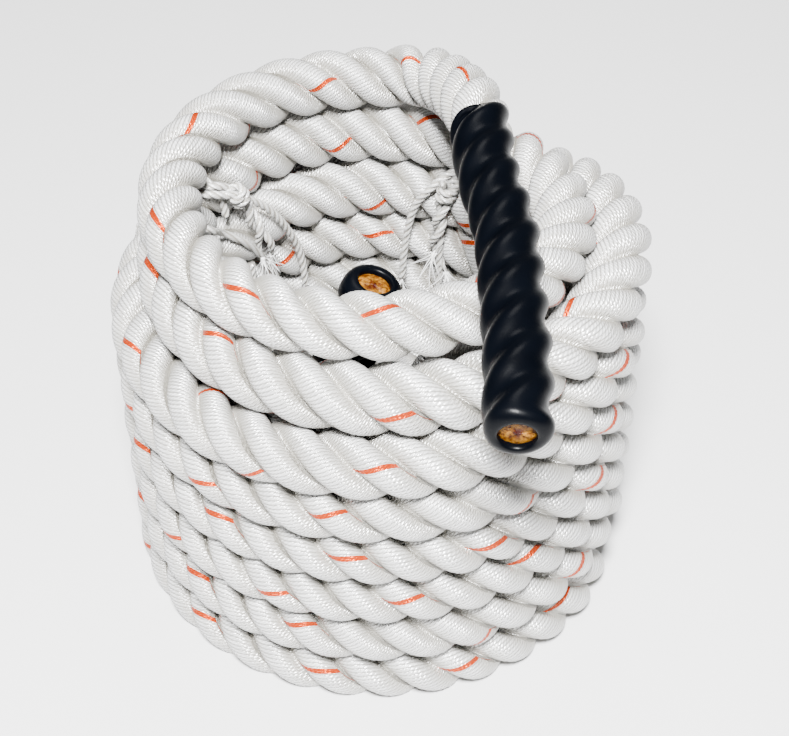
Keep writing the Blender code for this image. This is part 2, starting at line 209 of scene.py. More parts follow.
# The film's free edge at the mouth, from inside: how far in, and share of the wall
MOUTH_RINGS = ((0.004, 0.0), (0.0004, 0.15), (0.0, 0.5), (0.0004, 0.9))
# The mouth is cut at a slant that fades over this length. Handle 1's and handle 2's slants
SLANT_FADE = 0.018
SLANTS = (0.010, 0.004)
# At the far end the lobes fade to a share of their depth, and the film turns in as a lip: its
# radius, rings, turn in half circles, and how fast it gets round
LIP = 0.0060
LIP_LOBES = 0.45
LIP_LOBE_FADE = 0.012
LIP_RINGS = 10
LIP_TURN = 0.58
LIP_ROUNDING = 1.5
# The film's inner wall behind the lip: size as a share of the hole's, and depth
HOLE_RINGS = ((0.97, 0.0022), (0.99, 0.0042), (1.02, 0.0075))

# The melted ends: rings, points round, width and middle as shares of the hole's radius, depth
# behind the lip, bulge, the dips between the strands, and lumps made of waves round the end
MELT_RINGS = 12
MELT_AROUND = 60
MELT_WIDTH = 1.12
MELT_TIP = 0.002
MELT_DEPTH = 0.0040
MELT_BULGE = 0.0016
MELT_DOME = 2.5
MELT_DIP = 0.0033
MELT_DIP_WIDTH = 0.30
MELT_DIP_TURN = 0.5
MELT_LUMPS = 0.0009
MELT_LUMP_TWIST = 3.0
MELT_WAVES = (2, 3, 5, 7, 9)
MELT_SEED = 7

# The ties' twine: diameter, lay in diameters, the same for the flattened twine, points a strand,
# step along it in diameters, the share that a tapered end keeps, and how finely its curve is
# measured
TWINE = 0.0052
TWINE_LAY = 3.4
FLAT_TWINE = 0.0046
FLAT_LAY = 9.0
TWINE_SAMPLES = 5
TWINE_STEP = 0.22
TWINE_TIP = 0.25
TWINE_FINENESS = 8
# Two twines wound round each other: step along them, distance from their middle, and the points
# kept
PAIR_STEP = 0.002
PAIR_RADIUS = TWINE * 0.52
PAIR_KEPT = slice(3, None, 4)
# A knot: radius and turns of its winding, points a turn, and length
KNOT_RADIUS = 0.0044
KNOT_TURNS = 2.2
KNOT_POINTS = 10
KNOT_LENGTH = 0.0105
# The hairs of a frayed end: how many, points along and round each, radius, taper, sag, and how
# far apart they start
HAIRS = 16
HAIR_STEPS = 5
HAIR_SIDES = 4
HAIR_RADIUS = 0.00042
HAIR_TAPER = 0.8
HAIR_SAG = 0.35
HAIR_START = 0.0007
# The point before a twine's end that gives the way its hairs start
FRAY_BACK = -6

# The ties' way round the wall: half the thickness of their solids, and gaps to the turns, over
# them and to the floor
TIE_HALF = 0.00275
TIE_GAP = 0.0008
TIE_TOP_GAP = 0.0004
TIE_FLOOR_GAP = 0.0003

# The photo's view: the camera's place, its lens and sensor in millimetres, its tilt below the
# horizon in degrees, and the lens and the middle in the picture's points
CAMERA = Vector((0.00976, -0.77144, 0.89946))
LENS = 79.71
SENSOR = 36.0
TILT = 43.7
PICTURE_LENS = 1747.0
PICTURE_MIDDLE = (394.5, 368.0)

# Colours are linear
WHITE = (0.58, 0.58, 0.575)
# Painted shade: the colours that rope and twine darken to in the grooves between strands and yarns
GROOVE_SHADE = (0.22, 0.205, 0.17)
TWINE_WHITE = (0.66, 0.66, 0.65)
TWINE_GROOVE_SHADE = (0.30, 0.28, 0.24)
# The coloured yarn: half its width in turns round its strand, its colour and the tint of its
# gloss
TRACER = {"width": 0.026, "colour": (0.22, 0.020, 0.0015), "gloss": (1.0, 0.16, 0.05)}
FLOOR_GREY = 0.62
WORLD_LIGHT = 0.10
FLOOR_SIZE = 6
# Lamps: name, place, target, diameter and power
LAMPS = (
    ("key", (-0.05, -0.95, 1.75), (0, 0, 0.2), 0.40, 300),
    ("back", (0.1, 1.0, 2.2), (0, 0, 0.3), 1.0, 24),
)


def level_height(level):
    """The height of the middle of a turn at a level."""
    return TUBE / 2 - FOOT_DEPTH + level * LEVEL_STEP


def on_coil(azimuth, radius, height):
    """The point at an azimuth, radius and height, with the coil's axis at the origin."""
    turn = math.radians(azimuth)
    return np.array((-radius * math.sin(turn), -radius * math.cos(turn), height))


def ramp(position):
    """A smooth step from 0 to 1."""
    return 0.5 - 0.5 * math.cos(math.pi * min(1.0, max(0.0, position)))


def smooth(stations, values, wanted):
    """The natural cubic curve through the values."""
    x = np.asarray(stations, float)
    y = np.asarray(values, float).reshape(len(x), -1)
    step = np.diff(x)
    slope = np.diff(y, axis=0) / step[:, None]
    system = np.eye(len(x))
    right = np.zeros_like(y)
    for i in range(1, len(x) - 1):
        system[i, i - 1 : i + 2] = step[i - 1], 2 * (step[i - 1] + step[i]), step[i]
        right[i] = 6 * (slope[i] - slope[i - 1])
    bend = np.linalg.solve(system, right)
    wanted = np.asarray(wanted, float)
    k = np.clip(np.searchsorted(x, wanted, side="right") - 1, 0, len(x) - 2)
    span = step[k][:, None]
    b = (wanted - x[k])[:, None] / span
    a = 1 - b
    curved = (a**3 - a) * bend[k] + (b**3 - b) * bend[k + 1]
    return a * y[k] + b * y[k + 1] + curved * span**2 / 6


def travelled(points):
    """How far along each point lies."""
    steps = np.linalg.norm(np.diff(points, axis=0), axis=1)
    return np.concatenate([[0.0], np.cumsum(steps)])


def even(points, step, fineness):
    """A smooth line through the points, in even steps of about that length."""
    points = np.array(points)
    stations = travelled(points)
    fine = smooth(stations, points, np.linspace(0, stations[-1], fineness * len(points)))
    stations = travelled(fine)
    count = int(round(stations[-1] / step)) + 1
    return smooth(stations, fine, np.linspace(0, stations[-1], count))


def column_points():
    """The route down the inner column, across at the bottom and up the outer one."""
    cells = [(INNER, n) for n in reversed(range(LEVELS))] + [(OUTER, n) for n in range(LEVELS)]
    kinds = ["climb" if a[0] == b[0] else "cross" for a, b in zip(cells, cells[1:])]
    azimuth = LAST_CLIMB
    after = "climb"
    moves = []
    for kind in reversed(kinds):
        azimuth += CLIMB_LEAD if kind == after else CROSS_LEAD
        moves.append(azimuth)
        after = kind
    moves = moves[::-1]
    entry = moves[0] + ENTRY_LEAD
    start = POINT_ARC * math.ceil((entry - MOVE_ARC / 4) / POINT_ARC)
    points = []
    for azimuth in np.arange(start, 360 * len(cells) + TOP_TURNS[1][0], POINT_ARC):
        radius = INNER - COLUMN_STEP * (1 - ramp((azimuth - entry) / MOVE_ARC + 0.5))
        level = cells[0][1]
        for turn, (here, there) in enumerate(zip(cells, cells[1:])):
            done = ramp((azimuth - 360 * (turn + 1) - moves[turn]) / MOVE_ARC + 0.5)
            radius += (there[0] - here[0]) * done
            level += (there[1] - here[1]) * done
        points.append(on_coil(azimuth, radius, level_height(level)))
    return points


def top_points():
    """The route of the turns on top."""
    table = np.array(TOP_TURNS, float)
    azimuths = np.arange(table[1][0], table[-1][0] + POINT_ARC / 2, POINT_ARC)
    shares = smooth(table[:, 0], table[:, 1:], azimuths)
    return [
        on_coil(azimuth, INNER + column * COLUMN_STEP, level_height(level))
        for azimuth, (column, level) in zip(azimuths, shares)
    ]


def rope_line():
    """The rope's centreline in even steps, from handle 2's end to handle 1's."""
    low = [on_coil(a, share * INNER, level_height(n)) for a, share, n in BORE_ROUTE]
    high = [np.array((x * INNER, y * INNER, level_height(n))) for x, y, n in TOP_ROUTE]
    return even(low + column_points() + top_points() + high, LINE_STEP, ROUTE_FINENESS) + AXIS


def frames(points):
    """The way along a line, and two directions across it, without twist."""
    ahead = np.gradient(points, axis=0)
    ahead /= np.linalg.norm(ahead, axis=1)[:, None]
    side = np.array(Vector(ahead[0]).orthogonal().normalized())
    sides = [side]
    for way in ahead[1:]:
        side = side - way * (side @ way)
        side = side / np.linalg.norm(side)
        sides.append(side)
    sides = np.array(sides)
    return ahead, sides, np.cross(ahead, sides)


def link(name, data):
    """Puts a new object into the scene."""
    thing = bpy.data.objects.new(name, data)
    bpy.context.scene.collection.objects.link(thing)
    return thing


def grid_mesh(name, points, u, v, caps=False):
    """A skin over rows of points (rows x around x 3), closed round.

    u and v are written to its UV map. They have one column more than points, for the seam.
    """
    rows, around = points.shape[:2]
    mesh = bpy.data.meshes.new(name)
    r, c = np.meshgrid(np.arange(rows - 1), np.arange(around), indexing="ij")
    a = r * around + c
    b = r * around + (c + 1) % around
    quads = np.stack([a, b, b + around, a + around], axis=-1).reshape(-1, 4)
    mesh.vertices.add(rows * around)
    mesh.vertices.foreach_set("co", points.reshape(-1).astype(np.float32))
    mesh.loops.add(quads.size)
    mesh.loops.foreach_set("vertex_index", quads.reshape(-1).astype(np.int32))
    mesh.polygons.add(len(quads))
    mesh.polygons.foreach_set("loop_start", np.arange(0, quads.size, 4, dtype=np.int32))
    mesh.polygons.foreach_set("loop_total", np.full(len(quads), 4, dtype=np.int32))
    mesh.update(calc_edges=True)
    corners = [(r, c), (r, c + 1), (r + 1, c + 1), (r + 1, c)]
    uv = np.stack([np.stack([u[i, j], v[i, j]], axis=-1) for i, j in corners], axis=2)
    layer = mesh.uv_layers.new(name="lay")
    layer.data.foreach_set("uv", uv.reshape(-1).astype(np.float32))
    if caps:
        edit = bmesh.new()
        edit.from_mesh(mesh)
        edit.verts.ensure_lookup_table()
        edit.faces.new([edit.verts[i] for i in range(around)][::-1])
        edit.faces.new([edit.verts[(rows - 1) * around + i] for i in range(around)])
        edit.to_mesh(mesh)
        edit.free()
    mesh.shade_smooth()
    mesh.validate()
    return mesh


def skin_map(rows, around):
    """A UV map that runs once round a skin of rings, and along it from 0 towards 1."""
    u = np.tile(np.arange(around + 1) / around, (rows, 1))
    v = np.tile((np.arange(rows) / rows)[:, None], (1, around + 1))
    return u, v


def lobe_profile(offset, radial, sideways, samples):
    """A strand's outline between its grooves: own angle, angle round the rope, radius."""
    half = math.pi / STRANDS
    t = np.linspace(0, math.pi, PROFILE_STEPS + 1)
    angle = np.arctan2(sideways * np.sin(t), offset + radial * np.cos(t))
    limit = t[np.argmax(angle >= half)]
    own = np.linspace(-limit, limit, samples + 1)
    x = offset + radial * np.cos(own)
    y = sideways * np.sin(own)
    angle = np.arctan2(y, x)
    angle *= half / angle[-1]
    return own, angle, np.hypot(x, y)


def laid_rope(name, line, phase, diameter, samples, scale, yarns):
    """A twisted rope of touching strands.

    At each point of the line, phase is the lay's turn in radians, scale the rope's size as a
    share of the diameter, and yarns how often the yarns have turned in their strands.
    """
    offset = diameter * STRAND_OFFSET
    radial = diameter / 2 - offset
    own, angle, radius = lobe_profile(offset, radial, radial * STRAND_WIDTH, samples)
    _, side, other = frames(line)
    angles = np.concatenate([angle[:-1] + math.tau * k / STRANDS for k in range(STRANDS)])
    own_angles = [own[:-1] / math.tau + k for k in range(STRANDS)]
    seam = [own[-1] / math.tau + STRANDS - 1]
    turn = phase[:, None] + angles[None, :]
    reach = np.tile(radius[:-1], STRANDS)[None, :] * scale[:, None]
    points = line[:, None, :] + reach[..., None] * (
        np.cos(turn)[..., None] * side[:, None, :] + np.sin(turn)[..., None] * other[:, None, :]
    )
    points[..., 2] = np.maximum(points[..., 2], FLOOR_GAP)
    u = np.tile(np.concatenate(own_angles + [seam]), (len(line), 1))
    v = np.tile(yarns[:, None], (1, u.shape[1]))
    return grid_mesh(name, points, u, v, caps=True)


class Nodes:
    """Short calls for a material's node tree."""

    def __init__(self, name):
        self.material = bpy.data.materials.new(name)
        self.material.use_nodes = True
        self.tree = self.material.node_tree
        self.shader = self.tree.nodes["Principled BSDF"]

    def add(self, kind, **values):
        node = self.tree.nodes.new(kind)
        for key, value in values.items():
            setattr(node, key, value)
        return node

    def join(self, a, b):
        self.tree.links.new(a, b)

    def set(self, socket, value):
        """Sets a value on one of the shader's own sockets."""
        self.shader.inputs[socket].default_value = value

    def feed(self, socket, output):
        """Joins an output to one of the shader's sockets."""
        self.join(output, self.shader.inputs[socket])

    def math(self, operation, a, b=None, c=None):
        node = self.add("ShaderNodeMath", operation=operation)
        for socket, value in zip(node.inputs, (a, b, c)):
            if value is None:
                continue
            if isinstance(value, (int, float)):
                socket.default_value = value
            else:
                self.join(value, socket)
        return node.outputs[0]

    def mix(self, share, a, b):
        node = self.add("ShaderNodeMix", data_type="RGBA")
        self.join(share, node.inputs[0])
        for socket, value in ((node.inputs[6], a), (node.inputs[7], b)):
            if isinstance(value, tuple):
                socket.default_value = (*value, 1.0)
            else:
                self.join(value, socket)
        return node.outputs[2]

    def between(self, value, low, high):
        """0 up to low, 1 from high, and even between them."""
        node = self.add("ShaderNodeMapRange")
        node.inputs["From Min"].default_value = low
        node.inputs["From Max"].default_value = high
        self.join(value, node.inputs["Value"])
        return node.outputs[0]

    def vector(self, *values):
        node = self.add("ShaderNodeCombineXYZ")
        for value, socket in zip(values, node.inputs):
            self.join(value, socket)
        return node.outputs[0]

    def lay_map(self):
        """The two values of the map that grid_mesh writes."""
        split = self.add("ShaderNodeSeparateXYZ")
        self.join(self.add("ShaderNodeUVMap", uv_map="lay").outputs[0], split.inputs[0])
        return split.outputs[0], split.outputs[1]

    def noise(self, vector, scale, detail, roughness):
        node = self.add("ShaderNodeTexNoise")
        node.inputs["Scale"].default_value = scale
        node.inputs["Detail"].default_value = detail
        node.inputs["Roughness"].default_value = roughness
        self.join(vector, node.inputs["Vector"])
        return node.outputs[0]

    def bump(self, height, distance, strength=1.0, normal=None):
        node = self.add("ShaderNodeBump")
        node.inputs["Distance"].default_value = distance
        node.inputs["Strength"].default_value = strength
        self.join(height, node.inputs["Height"])
        if normal is not None:
            self.join(normal, node.inputs["Normal"])
        return node.outputs[0]


def yarn_material(name, yarns, spin, beads, white, groove_shade, relief, tracer=None):
    """Laid fibre: yarns run across each strand, with painted shade darker towards the grooves
    beside it.

    yarns is how many lie round a strand, spin how often they turn in one unit of the map, beads how
    many twists of a yarn show in it, and relief how high the yarns stand.
    """
    n = Nodes(name)
    u, v = n.lay_map()
    strand = n.math("ROUND", u)
    own = n.math("SUBTRACT", u, strand)
    twist = n.math("MULTIPLY_ADD", v, spin, own)
    count = n.math("MULTIPLY", twist, float(yarns))

    # Across a yarn: its round back, and the painted shade of the valley beside it
    cell = n.math("FRACT", count)
    middle = n.math("MULTIPLY_ADD", cell, 2.0, -1.0)
    square = n.math("MULTIPLY", middle, middle)
    ridge = n.math("SQRT", n.math("SUBTRACT", 1.02, square))
    valley_shade = n.math("MULTIPLY", square, 0.9)

    # Each yarn's own shade, its filaments, and the beads of its twist
    random = n.add("ShaderNodeTexWhiteNoise", noise_dimensions="2D")
    n.join(n.vector(n.math("FLOOR", count), strand), random.inputs["Vector"])
    shade = random.outputs["Value"]
    stretched = n.vector(n.math("MULTIPLY", count, 3.0), n.math("MULTIPLY", v, 2.0 * spin), strand)
    fibre = n.noise(stretched, 1.0, 3.0, 0.6)
    along_yarn = n.math("MULTIPLY_ADD", v, float(beads), n.math("MULTIPLY", cell, 0.9))
    bead = n.math("SINE", n.math("MULTIPLY", n.math("ADD", along_yarn, shade), math.tau))

    tone = n.math("MULTIPLY_ADD", shade, 0.18, -0.09)
    tone = n.math("ADD", tone, n.math("MULTIPLY_ADD", fibre, 0.34, -0.17))
    tone = n.math("ADD", tone, n.math("MULTIPLY", bead, 0.08))
    dull = tuple(0.72 * c for c in white)
    clear = tuple(1.12 * c for c in white)
    colour = n.mix(n.between(tone, -0.12, 0.12), dull, clear)
    # Painted shade in the valleys between the yarns
    colour = n.mix(valley_shade, colour, tuple(0.42 * c for c in groove_shade))
    # Painted shade: each strand darker towards the grooves between strands
    colour = n.mix(n.between(n.math("ABSOLUTE", own), 0.06, 0.33), colour, groove_shade)
    if tracer:
        near = n.math("ABSOLUTE", n.math("WRAP", twist, 0.5, -0.5))
        hit = n.math("LESS_THAN", near, tracer["width"])
        first_strand = n.math("COMPARE", strand, 0.0, 0.4)
        marked = n.math("MULTIPLY", hit, first_strand)
        colour = n.mix(marked, colour, tracer["colour"])
        n.feed("Specular Tint", n.mix(marked, (1.0, 1.0, 1.0), tracer["gloss"]))
    n.feed("Base Color", colour)
    n.feed("Roughness", n.math("MULTIPLY_ADD", fibre, 0.20, 0.20))
    n.set("Specular IOR Level", 1.0)
    n.set("IOR", 1.8)

    height = n.math("ADD", ridge, n.math("MULTIPLY", fibre, 0.4))
    height = n.math("ADD", height, n.math("MULTIPLY", n.math("MULTIPLY", bead, ridge), 0.40))
    n.feed("Normal", n.bump(height, relief))
    return n.material


def sleeve_material(name):
    """Black heat-shrink film, with a faint blue cast and an uneven skin."""
    n = Nodes(name)
    place = n.add("ShaderNodeTexCoord").outputs["Object"]
    fine = n.noise(place, 900.0, 3.0, 0.6)
    broad = n.noise(place, 60.0, 3.0, 0.5)
    n.feed("Base Color", n.mix(broad, (0.0003, 0.00042, 0.0008), (0.0007, 0.0011, 0.0021)))
    n.set("Specular IOR Level", 0.055)
    n.feed("Roughness", n.math("MULTIPLY_ADD", broad, 0.12, 0.26))
    uneven = n.bump(broad, 0.0006, 0.5)
    n.feed("Normal", n.bump(fine, 0.00008, 0.5, uneven))
    return n.material


def fused_material(name):
    """Melted fibre: amber patches, a burnt red-brown star in the middle and a dark rim.

    The map's second value runs inwards from the rim.
    """
    n = Nodes(name)
    place = n.add("ShaderNodeTexCoord").outputs["Object"]
    inwards = n.lay_map()[1]
    cells = n.noise(place, 420.0, 4.0, 0.65)
    colour = n.mix(n.between(cells, 0.40, 0.60), (0.045, 0.009, 0.0003), (0.20, 0.085, 0.006))
    burn = n.noise(place, 210.0, 3.0, 0.6)
    burnt = n.math("ADD", burn, n.math("MULTIPLY_ADD", inwards, 0.55, -0.22))
    colour = n.mix(n.between(burnt, 0.60, 0.74), colour, (0.022, 0.0014, 0.0001))
    colour = n.mix(n.between(inwards, 0.20, 0.0), colour, (0.02, 0.006, 0.002))
    n.feed("Base Color", colour)
    n.set("Roughness", 0.33)
    n.set("Specular IOR Level", 0.12)
    n.feed("Normal", n.bump(cells, 0.0012))
    return n.material


def plain_material(name, colour, roughness):
    """One colour, without a pattern."""
    n = Nodes(name)
    n.set("Base Color", (*colour, 1))
    n.set("Roughness", roughness)
    return n.material


rope_paint = yarn_material("rope_fibre", 26, 1.0, 14, WHITE, GROOVE_SHADE, 0.0004, TRACER)
twine_paint = yarn_material("twine_fibre", 9, 2.0, 6, TWINE_WHITE, TWINE_GROOVE_SHADE, 0.00015)
hair_paint = plain_material("twine_hair", TWINE_WHITE, 0.35)
sleeve_paint = sleeve_material("sleeve_film")
fused_paint = fused_material("fused_rope")
floor_paint = plain_material("floor_white", (FLOOR_GREY,) * 3, 0.9)


# The camera at the photo's view
camera_data = bpy.data.cameras.new("camera")
camera_data.lens = LENS
camera_data.sensor_width = SENSOR
camera = link("camera", camera_data)
camera.location = CAMERA
camera.rotation_euler = (math.radians(90 - TILT), 0, 0)
bpy.context.scene.camera = camera

line = rope_line()
along = travelled(line)
length = float(along[-1])
ahead, side, other = frames(line)


def eased(values, reach):
    """A running mean over reach points on both sides, which keeps the slope at the ends."""
    steps = np.arange(1, reach + 1)
    before = values[0] - (values[1] - values[0]) * steps[::-1]
    after = values[-1] + (values[-1] - values[-2]) * steps
    padded = np.concatenate([before, values, after])
    return np.convolve(padded, np.full(2 * reach + 1, 1 / (2 * reach + 1)), mode="valid")


def lay_turns():
    """How often the lay and the strands' yarns have turned at each point of the rope's line.

    The coloured yarn comes to the outside of its strand where the photo shows it.
    """
    to_camera = np.array(CAMERA) - line
    facing = np.arctan2((to_camera * other).sum(axis=1), (to_camera * side).sum(axis=1))
    facing = np.unwrap(facing) / math.tau
    wanted = [(place, np.interp(place, along, facing) + angle / 360) for place, angle in LAY_MARKS]
    wanted.append((length - SLEEVE, END_TURN))
    places = [0.0, SLEEVE]
    turns = [0.0, SLEEVE / SLEEVE_PITCH]
    yarns = [0.0]
    for place, turn in wanted:
        lays = (place - places[-1]) / PITCH
        step = turn - turns[-1]
        step += round(lays - step)
        turns.append(turns[-1] + step)
        yarns.append(yarns[-1] + round(YARN_SPIN * (place - places[-1]) / PITCH))
        places.append(place)
    places.append(length)
    turns.append(turns[-1] + SLEEVE / SLEEVE_PITCH)
    spun = YARN_SPIN * SLEEVE / PITCH
    yarns = [-spun] + yarns + [yarns[-1] + spun]
    lay = eased(np.interp(along, places, turns), LAY_EASE)
    return lay, eased(np.interp(along, places, yarns), YARN_EASE)


def rope_scale():
    """The rope's size along its line: thinner in the sleeves, wider where it is pressed."""
    low = np.clip((SLEEVE + MOUTH_TAPER / 2 - along) / MOUTH_TAPER, 0, 1)
    high = np.clip((along - (length - SLEEVE - MOUTH_TAPER / 2)) / MOUTH_TAPER, 0, 1)
    level = (line[:, 2] - level_height(0)) / LEVEL_STEP
    pressed = np.clip(WIDE_EDGE - np.abs(level - WIDE_LEVEL) / WIDE_FADE, 0, 1)
    pressed = np.where(along > length / 2, pressed, 0)
    return (1 - SLEEVE_SQUEEZE * np.maximum(low, high)) * (1 + WIDER * pressed)


lay, yarns = lay_turns()
phase = lay * math.tau
kept = (along >= END_INSET) & (along <= length - END_INSET)
scale = rope_scale()[kept]
rope_mesh = laid_rope("rope", line[kept], phase[kept], DRAWN, ROPE_SAMPLES, scale, yarns[kept])
rope = link("rope", rope_mesh)
rope.data.materials.append(rope_paint)
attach(rope, "root")
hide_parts("rope_coil", "handle_1_strands", "handle_2_strands")


def make_sleeve(name, from_end, slanted):
    """A sleeve's skin in rings, from its mouth to the hole in its end and then inwards.

    Also returns the hole's middle, the way out of it, its radius and two directions across it.
    """
    if from_end:
        way = 1
        order = np.arange(int(np.searchsorted(along, length - SLEEVE)), len(line))
    else:
        way = -1
        order = np.arange(int(np.searchsorted(along, SLEEVE)), -1, -1)
    base = np.arange(FILM_AROUND) / FILM_AROUND * math.tau
    reach = np.abs(along[order] - along[order[0]])
    total = reach[-1]
    rings = []

    def lobes(turn, strength):
        """The film's radius round a ring, drawn in between the strands."""
        part = np.mod(base - turn + math.pi / STRANDS, math.tau / STRANDS) - math.pi / STRANDS
        edge = np.abs(part) / (math.pi / STRANDS)
        depth = (0.5 - 0.5 * np.cos(math.pi * edge)) ** LOBE_SHARPNESS
        return SLEEVE_WIDTH / 2 - strength * LOBE_DEPTH * depth

    def put(centre, i, radii, far):
        """Adds a ring. Its left side starts further in than its right, as the mouth is cut."""
        out = np.cos(base)[:, None] * side[i] + np.sin(base)[:, None] * other[i]
        slant = way * slanted * max(0.0, 1 - far / SLANT_FADE)
        rings.append(centre + radii[:, None] * out + slant * (0.5 - 0.5 * out[:, :1]) * ahead[i])

    mouth = order[0]
    inner = lobes(phase[mouth], 1.0) - FILM_WALL
    for back, share in MOUTH_RINGS:
        put(line[mouth] + way * ahead[mouth] * back, mouth, inner + FILM_WALL * share, 0.0)
    for i, far in zip(order[1:], reach[1:]):
        if far > total - LIP:
            break
        strength = min(1.0, (total - LIP - far) / LIP_LOBE_FADE + LIP_LOBES)
        put(line[i], i, lobes(phase[i], strength), far)
    last = i
    end = line[order[-1]]
    full = lobes(phase[last], LIP_LOBES)
    direction = way * ahead[order[-1]]
    for step in range(1, LIP_RINGS + 1):
        turn = math.pi * LIP_TURN * step / LIP_RINGS
        drop = LIP * (1 - math.cos(turn))
        rise = LIP * math.sin(turn)
        share = min(1.0, step / LIP_RINGS * LIP_ROUNDING)
        radii = full * (1 - share) + full.mean() * share - drop
        put(end + direction * (rise - LIP), last, radii, total)
    hole = rings[-1] - end
    flat = hole - np.outer(hole @ direction, direction)
    centre = end + direction * float((hole @ direction).mean())
    for size, depth in HOLE_RINGS:
        rings.append(centre + flat * size - direction * depth)
    points = np.array(rings)
    if way < 0:
        points = points[:, ::-1]
    sleeve = link(name, grid_mesh(name, points, *skin_map(len(points), FILM_AROUND)))
    sleeve.data.materials.append(sleeve_paint)
    radius = float(np.linalg.norm(flat, axis=1).mean())
    return sleeve, centre, direction, radius, side[last], other[last]


def make_melt(name, centre, direction, radius, side, other):
    """The fused strands behind the lip: three melted lobes with dips between them."""
    base = np.arange(MELT_AROUND) / MELT_AROUND * math.tau
    rng = np.random.default_rng(MELT_SEED)
    waves = [(k, rng.uniform(0, math.tau), rng.uniform(0.3, 1.0)) for k in MELT_WAVES]
    off_dip = np.abs(np.mod(base + MELT_DIP_TURN, math.tau / STRANDS) - math.pi / STRANDS)
    dips = np.clip(1 - off_dip / MELT_DIP_WIDTH, 0, 1)
    around = np.cos(base)[:, None] * side + np.sin(base)[:, None] * other
    rings = []
    for step in range(MELT_RINGS + 1):
        share = 1 - step / MELT_RINGS
        lump = sum(a * np.cos(k * base + p + MELT_LUMP_TWIST * share) for k, p, a in waves)
        lump = lump / len(waves)
        height = MELT_BULGE * (1 - share**MELT_DOME) - MELT_DIP * dips * share * (1 - share)
        height = height + MELT_LUMPS * lump * math.sin(math.pi * share)
        out = radius * MELT_WIDTH * max(share, MELT_TIP)
        rings.append(centre + out * around + np.outer(height - MELT_DEPTH, direction))
    points = np.array(rings)
    melt = link(name, grid_mesh(name, points, *skin_map(len(points), MELT_AROUND)))
    melt.data.materials.append(fused_paint)
    return melt


on_rope = []
for number, from_end, slanted in ((1, True, SLANTS[0]), (2, False, SLANTS[1])):
    name = f"handle_{number}"
    sleeve, *hole = make_sleeve(name + "_film", from_end, slanted)
    melt = make_melt(name + "_melt", *hole)
    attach(sleeve, "root")
    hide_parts(name + "_sleeve")
    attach(melt, "root")
    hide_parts(name + "_fused_end")
    on_rope += [sleeve, melt]


def sight(px, py):
    """The way from the camera through a point of the picture."""
    x = (px - PICTURE_MIDDLE[0]) / PICTURE_LENS
    up = (PICTURE_MIDDLE[1] - py) / PICTURE_LENS
    cos, sin = math.cos(math.radians(TILT)), math.sin(math.radians(TILT))
    return np.array((x, cos + up * sin, -sin + up * cos))


def seen_at(px, py, height):
    """The point seen there at a height in rope diameters."""
    way = sight(px, py)
    eye = np.array(CAMERA)
    return eye + way * (height * ROPE - eye[2]) / way[2]


def seen_on_wall(px, py, radius):
    """The point seen there on the far side of a cylinder round the coil's axis.

    The radius is in rope diameters.
    """
    way = sight(px, py)
    eye = np.array(CAMERA) - AXIS
    a = way[0] ** 2 + way[1] ** 2
    b = eye[0] * way[0] + eye[1] * way[1]
    c = eye[0] ** 2 + eye[1] ** 2 - (radius * ROPE) ** 2
    return np.array(CAMERA) + way * (-b + math.sqrt(max(0.0, b * b - a * c))) / a


def over(*spots):
    """Points on the turns, each from its place in the picture and its height."""
    return [seen_at(*spot) for spot in spots]


def down(*spots):
    """Points on the wall of the bore, each from its place in the picture and its radius."""
    return [seen_on_wall(*spot) for spot in spots]


def twine(name, points, diameter=TWINE, pitch=TWINE_LAY, taper=0.0):
    """Three-strand twine along the points. Its far end narrows over the length taper."""
    path = even(points, diameter * TWINE_STEP, TWINE_FINENESS)
    reach = travelled(path)
    phase = reach / (pitch * diameter) * math.tau
    scale = np.ones(len(path))
    if taper:
        scale = np.clip(TWINE_TIP + (1 - TWINE_TIP) * (reach[-1] - reach) / taper, TWINE_TIP, 1.0)
    mesh = laid_rope(name, path, phase, diameter, TWINE_SAMPLES, scale, phase / math.tau)
    thing = link(name, mesh)
    thing.data.materials.append(twine_paint)
    return thing, path


def twist_pair(centre, turns, start):
    """Two lines wound round a centre line, from a start angle in radians."""
    path = even(centre, PAIR_STEP, TWINE_FINENESS)
    _, side, other = frames(path)
    reach = travelled(path) / travelled(path)[-1]
    lines = []
    for half in (0, math.pi):
        angle = start + half + reach * turns * math.tau
        out = np.cos(angle)[:, None] * side + np.sin(angle)[:, None] * other
        lines.append(path + PAIR_RADIUS * out)
    return [list(points[PAIR_KEPT]) for points in lines]


def knot(name, centre, way):
    """A small knot: twine wound round the pair."""
    way = Vector(way).normalized()
    side = way.orthogonal().normalized()
    other = way.cross(side)
    steps = int(KNOT_TURNS * KNOT_POINTS)
    points = []
    for step in range(steps + 1):
        angle = math.tau * step / KNOT_POINTS
        lift = (step / steps - 0.5) * KNOT_LENGTH
        out = (side * math.cos(angle) + other * math.sin(angle)) * KNOT_RADIUS
        points.append(np.array(Vector(centre) + way * lift + out))
    return twine(name, points)[0]


